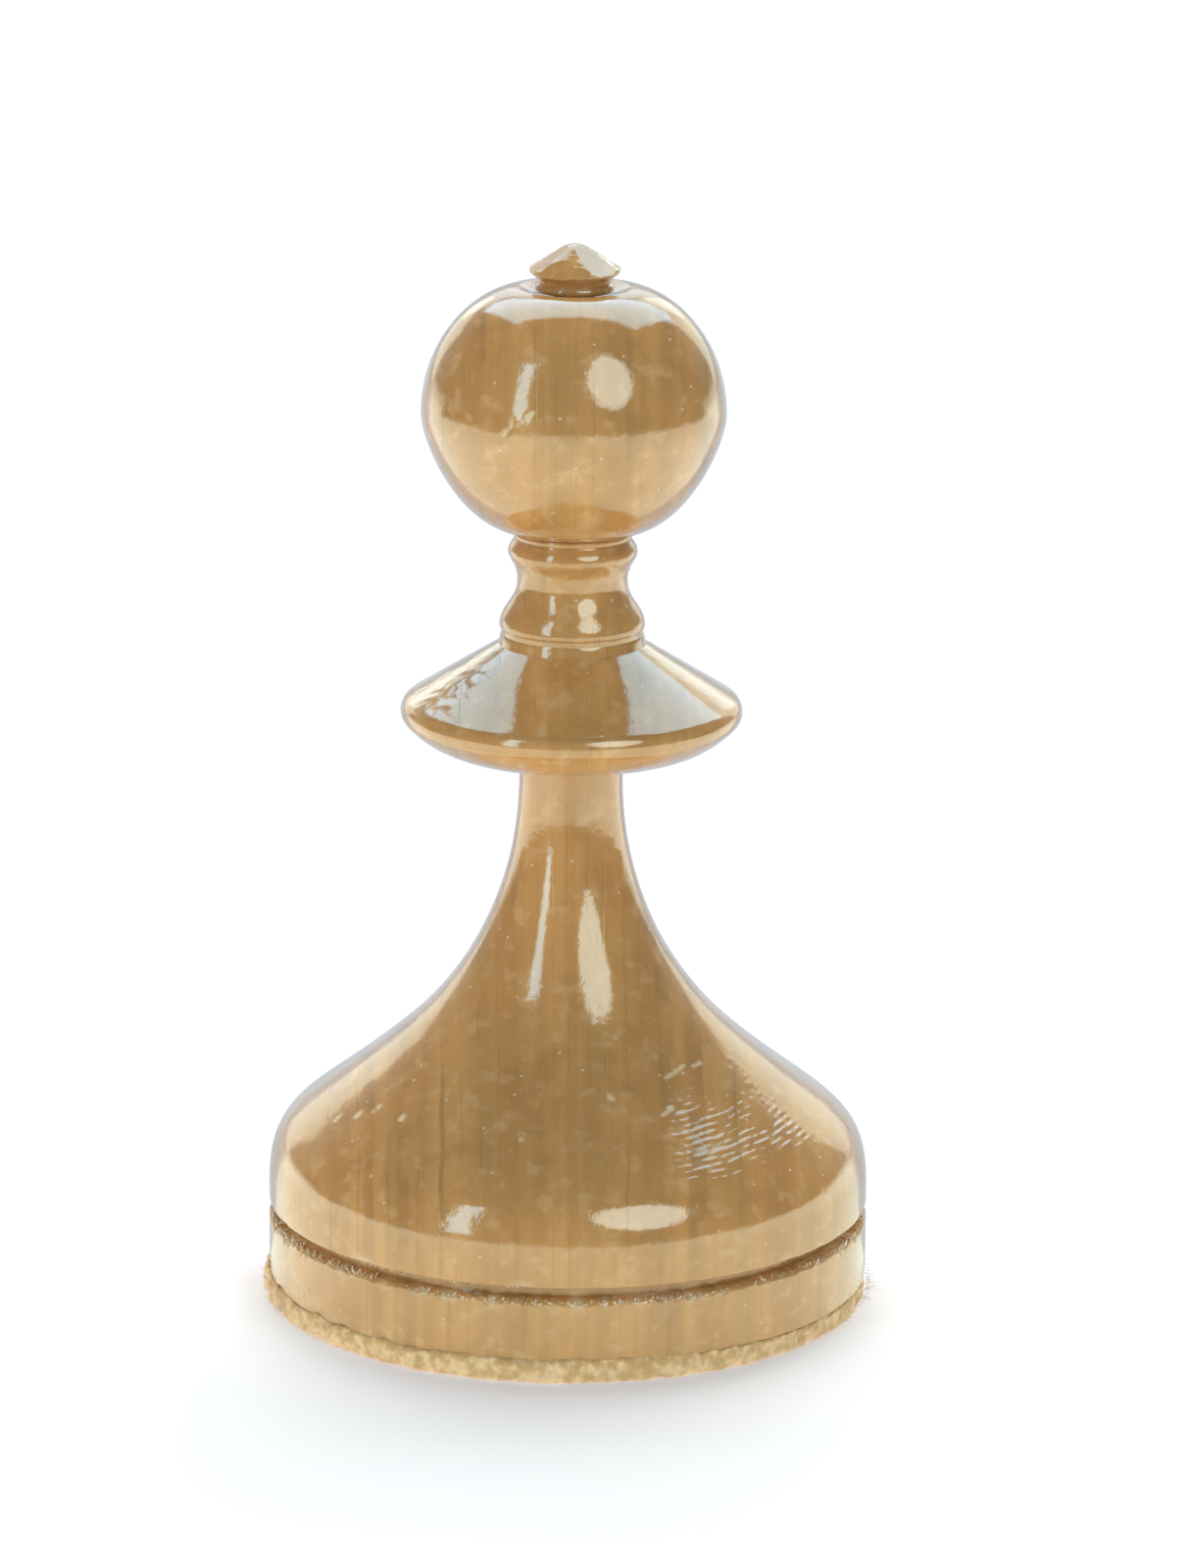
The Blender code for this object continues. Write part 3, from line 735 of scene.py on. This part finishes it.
def makeHead(wood):
    low, high = boxes["head"]
    under = low.z - lacquerFilm
    foot = (head["footRadius"], under)
    equator = (high.x, low.z + head["underRise"])
    crown = (head["crownRadius"], high.z)
    seat = high.z - head["dishDepth"]
    floor = low.z + head["dowelDepth"]
    hole = [(0, floor), (head["dowelBore"], floor), (head["dowelBore"], under)]
    ball = curveBetween(foot, head["footSlope"], equator, 90, head["underHold"], 65)
    dome = curveBetween(equator, 90, crown, 180, head["domeHold"], 65)
    dish = [(head["dishRadius"], seat), (head["tenonBore"], seat)]
    tenonHole = [(head["tenonBore"], seat - head["tenonDepth"]), (0, seat - head["tenonDepth"])]
    piece = turnOnLathe("head.turned", hole + ball + dome[1:] + dish + tenonHole, head["segments"], headWear)
    return putOn(piece, "head", wood)


finial = {"tenonRadius": 0.0009, "tenonLength": 0.0025, "footRadius": 0.00183, "beadRound": 0.0002,
          "waistRadius": 0.00168, "waistHeight": 0.00044, "waistHold": (0.4, 0.3), "rimHeight": 0.00095,
          "rimRound": 0.00015, "rimTurn": 60.0, "slope": 33.5, "tipRound": 0.0012, "segments": 220,
          "facets": ((-66, 33.5, 0.00004), (44, 33.5, 0.00009), (-24, 45.0, 0.00020), (8, 47.0, 0.00012),
                     (150, 36.0, 0.00010)), "rough": 0.000015}


def finialWear(place, normal):
    low, high = boxes["finial"]
    seat = low.z + finial["tenonLength"]
    rimTop = seat + finial["rimHeight"]
    if place.z <= seat + 0.00001:
        return Vector(), 0.0
    lift = finial["rough"] * (noise.noise(place * 2300) + 0.5 * noise.noise(place * 5600))
    move = normal * lift * fade(place.z, seat, seat + 0.0003)
    move *= fade(place.z, high.z - 0.0001, high.z - 0.0006)
    # flat chips knocked off the cone, each a plane of its own slope
    above = Vector((0, 0, high.z))
    for side, tilt, depth in finial["facets"]:
        facing = onSide(side, math.sin(math.radians(tilt)), math.cos(math.radians(tilt)))
        rim = onSide(side, high.x, rimTop) - above
        over = (place + move - above).dot(facing) - rim.dot(facing) - finial["rimRound"] * 0.4 + depth
        if over > 0:
            move -= facing * over
    return move, 0.0


def makeFinial(wood):
    low, high = boxes["finial"]
    seat = low.z + finial["tenonLength"]
    rimCentre = (high.x - finial["rimRound"], seat + finial["rimHeight"])
    rim = roundBetween(rimCentre, finial["rimRound"], -finial["rimTurn"], 90 - finial["slope"], 8)
    tipCentre = (0, high.z - finial["tipRound"])
    tip = roundBetween(tipCentre, finial["tipRound"], 90 - finial["slope"], 90, 12)
    cone = lineBetween(rim[-1], tip[0], 30)
    tenon = [(0, low.z), (finial["tenonRadius"], low.z), (finial["tenonRadius"], seat)]
    beadCentre = (finial["footRadius"] - finial["beadRound"], seat + finial["beadRound"] * 0.9)
    bead = roundBetween(beadCentre, finial["beadRound"], -60, 80, 12)
    waistFoot = (finial["waistRadius"], seat + finial["waistHeight"])
    waist = curveBetween(waistFoot, 88, rim[0], 50, finial["waistHold"], 10)
    outline = tenon + bead + waist + rim[1:] + cone[1:] + tip[1:-1] + [(0, high.z)]
    piece = turnOnLathe("finial.turned", outline, finial["segments"], finialWear)
    return putOn(piece, "finial", wood)


felt = makeFeltPad()
fuzz = makeFeltFuzz()
base = makePlinth(lacqueredWood("plinthWood", (0.0, 0.0, 0.0)))
makeSplinters()
makeBody(lacqueredWood("bodyWood", (0.0004, 0.0, 0.011)))
makeCollar(lacqueredWood("collarWood", (0.0013, 0.0007, 0.023)))
makeNeck(lacqueredWood("neckWood", (-0.0009, 0.0012, 0.031)))
# the head's wood is painted 7 % darker, a painted shade that tones down the brighter light on the ball
makeHead(lacqueredWood("headWood", (0.0021, -0.0006, 0.047), 0.93))
makeFinial(lacqueredWood("finialWood", (-0.0017, 0.0004, 0.059)))


# Inside the wood, unseen: the weight and the dowel keep their CAD meshes

def finishHidden(node, material):
    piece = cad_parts[node]
    piece.data.materials.clear()
    piece.data.materials.append(material)
    print(node, "finished as", material.name)


finishHidden("weight", sawnSteel("sawnSteel"))
finishHidden("centre_dowel", bareBeech("bareBeech"))


# Stage: paper sweep, lamps and camera

paper = {"wide": 1.6, "near": -1.6, "far": 0.55, "bend": 0.25, "tall": 0.8, "front": (0.75, 0.745, 0.70),
         "back": (0.47, 0.475, 0.50), "turn": (-0.002, 0.005), "foot": 0.012, "shadowWedge": (0.70, 0.95),
         "wall": (0.02, 0.1), "glow": (0.20, 0.49), "aside": (0.02, 0.07), "mirrored": (0.25, 0.60),
         "fill": 0.61, "glowColour": (1.0, 0.85, 0.95),
         "mirroredColour": ((0.96, 1.0, 0.50), (0.92, 1.0, 0.85))}


def makeFloor():
    shape = bmesh.new()
    bend = roundBetween((paper["far"], paper["bend"]), paper["bend"], -90, 0, 16)
    outline = [(paper["near"], 0)] + bend + [(paper["far"] + paper["bend"], paper["tall"])]
    points = [shape.verts.new((-paper["wide"], y, z)) for y, z in outline]
    edges = [shape.edges.new(pair) for pair in zip(points, points[1:])]
    drawn = bmesh.ops.extrude_edge_only(shape, edges=edges)["geom"]
    moved = [part for part in drawn if isinstance(part, bmesh.types.BMVert)]
    bmesh.ops.translate(shape, verts=moved, vec=(2 * paper["wide"], 0, 0))
    bmesh.ops.recalc_face_normals(shape, faces=shape.faces)
    floor = finishMesh("paperSweep", shape)
    material, tree, shader = newMaterial("whitePaper")
    # graduated paper, greyer behind the pawn: a painted shadow in a wedge that widens away from the pawn, and
    # a greyer upright wall
    apart = addNode(tree, "SeparateXYZ", {"Vector": addNode(tree, "TexCoord").outputs["Object"]})
    sideways = maths(tree, "ABSOLUTE", apart.outputs["X"])
    spread = maths(tree, "DIVIDE", maths(tree, "SUBTRACT", sideways, paper["foot"]),
                   maths(tree, "MAXIMUM", apart.outputs["Y"], 0.004))
    behind = maths(tree, "MULTIPLY", rangeOf(tree, apart.outputs["Y"], *paper["turn"]),
                   rangeOf(tree, spread, *paper["shadowWedge"], 1.0, 0.0))
    behind = maths(tree, "MAXIMUM", behind, rangeOf(tree, apart.outputs["Z"], *paper["wall"]))
    shade = mixed(tree, behind, colour(paper["front"]), colour(paper["back"]))
    tree.links.new(shade, shader.inputs["Base Color"])
    shader.inputs["Roughness"].default_value = 0.9
    shader.inputs["Specular IOR Level"].default_value = 0.1
    # a glow evens it out to white for the camera, and whitens it in the lacquer except behind the pawn,
    # where its grey draws the outline; the wood gets a soft fill, and the paper still takes the shadow
    path = addNode(tree, "LightPath").outputs
    mirrored = maths(tree, "MAXIMUM", path["Is Glossy Ray"], path["Is Transmission Ray"])
    aside = rangeOf(tree, sideways, *paper["aside"])
    mirrored = maths(tree, "MULTIPLY", mirrored, rangeOf(tree, aside, 0, 1, *paper["mirrored"]))
    mirrored = maths(tree, "MULTIPLY", mirrored, maths(tree, "SUBTRACT", 1.0, behind))
    seen = maths(tree, "MULTIPLY", path["Is Camera Ray"], rangeOf(tree, behind, 0, 1, *paper["glow"]))
    fill = maths(tree, "MULTIPLY", path["Is Diffuse Ray"], paper["fill"])
    strength = maths(tree, "ADD", maths(tree, "ADD", seen, mirrored), fill)
    tint = mixed(tree, path["Is Camera Ray"], colour((1, 1, 1)), colour(paper["glowColour"]))
    mirroredTint = mixed(tree, aside, *(colour(rgb) for rgb in paper["mirroredColour"]))
    tint = mixed(tree, path["Is Glossy Ray"], tint, mirroredTint)
    glow = addNode(tree, "Emission", {"Color": tint, "Strength": strength})
    lit = addNode(tree, "AddShader", {0: shader.outputs["BSDF"], 1: glow.outputs["Emission"]})
    tree.links.new(lit.outputs["Shader"], tree.nodes["Material Output"].inputs["Surface"])
    floor.data.materials.append(material)
    print("paper sweep laid")


# black cards laid out of sight in front, seen only in the lacquer, where they end the floor in a dark edge
card = {"near": 0.36, "far": 1.7, "height": 0.0006, "sides": 115}


def makeCard():
    shape = bmesh.new()
    ends = [shape.verts.new(onSide(-card["sides"], card[end], card["height"])) for end in ("near", "far")]
    edge = shape.edges.new(ends)
    bmesh.ops.spin(shape, geom=ends + [edge], cent=(0, 0, 0), axis=(0, 0, 1), dvec=(0, 0, 0),
                   angle=math.radians(2 * card["sides"]), steps=36)
    piece = finishMesh("blackCard", shape)
    material, tree, shader = newMaterial("blackCard")
    shader.inputs["Base Color"].default_value = colour((0.02, 0.02, 0.02))
    shader.inputs["Roughness"].default_value = 0.9
    piece.data.materials.append(material)
    piece.visible_camera = False
    piece.visible_diffuse = False
    piece.visible_shadow = False


# side 0 is the camera's, glow is how bright a lamp's own face is, and mirrored lamps show in the lacquer
lamps = {"rightWindow": {"side": 32.5, "up": 36, "away": 0.8, "wide": 0.47, "tall": 0.60, "roll": -10,
                         "shape": "ELLIPSE", "colour": (0.72, 0.91, 1.0), "glow": 2.06, "mirrored": True},
         "leftWindow": {"side": -43, "up": 25.5, "away": 0.8, "wide": 0.14, "tall": 0.67, "roll": 5,
                        "shape": "RECTANGLE", "colour": (0.43, 0.75, 1.0), "glow": 3.2, "mirrored": True},
         "leftWall": {"side": -82, "up": 20, "away": 0.8, "wide": 0.70, "tall": 0.55, "roll": 0,
                      "shape": "RECTANGLE", "colour": (1.0, 0.96, 0.90), "glow": 1.35, "mirrored": False},
         "leftScreen": {"side": -153, "up": 9, "away": 0.8, "wide": 0.36, "tall": 0.34, "roll": 0,
                        "shape": "RECTANGLE", "colour": (0.95, 1.0, 0.80), "glow": 0.65, "mirrored": True},
         "rightScreen": {"side": 153, "up": 15, "away": 0.8, "wide": 0.36, "tall": 0.46, "roll": 0,
                         "shape": "RECTANGLE", "colour": (0.95, 1.0, 0.80), "glow": 0.65, "mirrored": True},
         "overhead": {"side": 176, "up": 54, "away": 0.75, "wide": 0.90, "tall": 0.58, "roll": 0,
                      "shape": "RECTANGLE", "colour": (0.46, 0.76, 1.0), "glow": 1.95, "mirrored": True},
         "backdrop": {"side": 180, "up": 15, "away": 0.82, "wide": 0.72, "tall": 0.42, "roll": 0,
                      "shape": "RECTANGLE", "colour": (0.74, 0.92, 1.0), "glow": 0.62, "mirrored": True},
         "topLight": {"side": 170, "up": 66, "away": 0.75, "wide": 0.40, "tall": 0.40, "roll": 0,
                      "shape": "RECTANGLE", "colour": (1.0, 0.90, 0.76), "glow": 5.3, "mirrored": False}}
roomGlow = 0.10
aimHeight = 0.025                                   # the lamps point at the middle of the pawn


def makeLamp(name, look):
    lamp = bpy.data.lights.new(name, "AREA")
    lamp.shape = look["shape"]
    lamp.size = look["wide"]
    lamp.size_y = look["tall"]
    lamp.color = look["colour"]
    lamp.energy = 4 * look["glow"] * look["wide"] * look["tall"]
    level = math.radians(look["up"])
    place = onSide(look["side"], look["away"] * math.cos(level), aimHeight + look["away"] * math.sin(level))
    facing = (Vector((0, 0, aimHeight)) - place).to_track_quat("-Z", "Y").to_matrix().to_4x4()
    holder = bpy.data.objects.new(name, lamp)
    rolled = Matrix.Rotation(math.radians(look["roll"]), 4, "Z")
    holder.matrix_world = Matrix.Translation(place) @ facing @ rolled
    holder.visible_camera = False
    holder.visible_glossy = look["mirrored"]
    bpy.context.scene.collection.objects.link(holder)


def makeLights():
    for name, look in lamps.items():
        makeLamp(name, look)
    world = bpy.data.worlds.new("studio")
    bpy.context.scene.world = world
    world.use_nodes = True
    world.node_tree.nodes["Background"].inputs["Color"].default_value = (roomGlow, roomGlow, roomGlow, 1)
    print("lamps:", ", ".join(lamps))


cameraView = {"place": (0, -0.31362, 0.10696), "down": 14.76, "aside": 0.2115, "roll": 0.4927,
              "focal": 7152.79, "tall": 1600, "sensor": 36.0}


def makeCamera():
    lens = bpy.data.cameras.new("camera")
    lens.sensor_width = cameraView["sensor"]
    lens.lens = cameraView["focal"] * cameraView["sensor"] / cameraView["tall"]
    lens.clip_start = 0.01
    camera = bpy.data.objects.new("camera", lens)
    turned = Matrix.Rotation(-math.radians(cameraView["aside"]), 4, "Z")
    tilted = Matrix.Rotation(math.radians(90 - cameraView["down"]), 4, "X")
    rolled = Matrix.Rotation(math.radians(cameraView["roll"]), 4, "Z")
    camera.matrix_world = Matrix.Translation(cameraView["place"]) @ turned @ tilted @ rolled
    bpy.context.scene.collection.objects.link(camera)
    bpy.context.scene.camera = camera
    print("camera set, lens", round(lens.lens, 1), "mm")
    bpy.context.scene.view_settings.view_transform = "Standard"


makeFloor()
makeCard()
makeLights()
makeCamera()
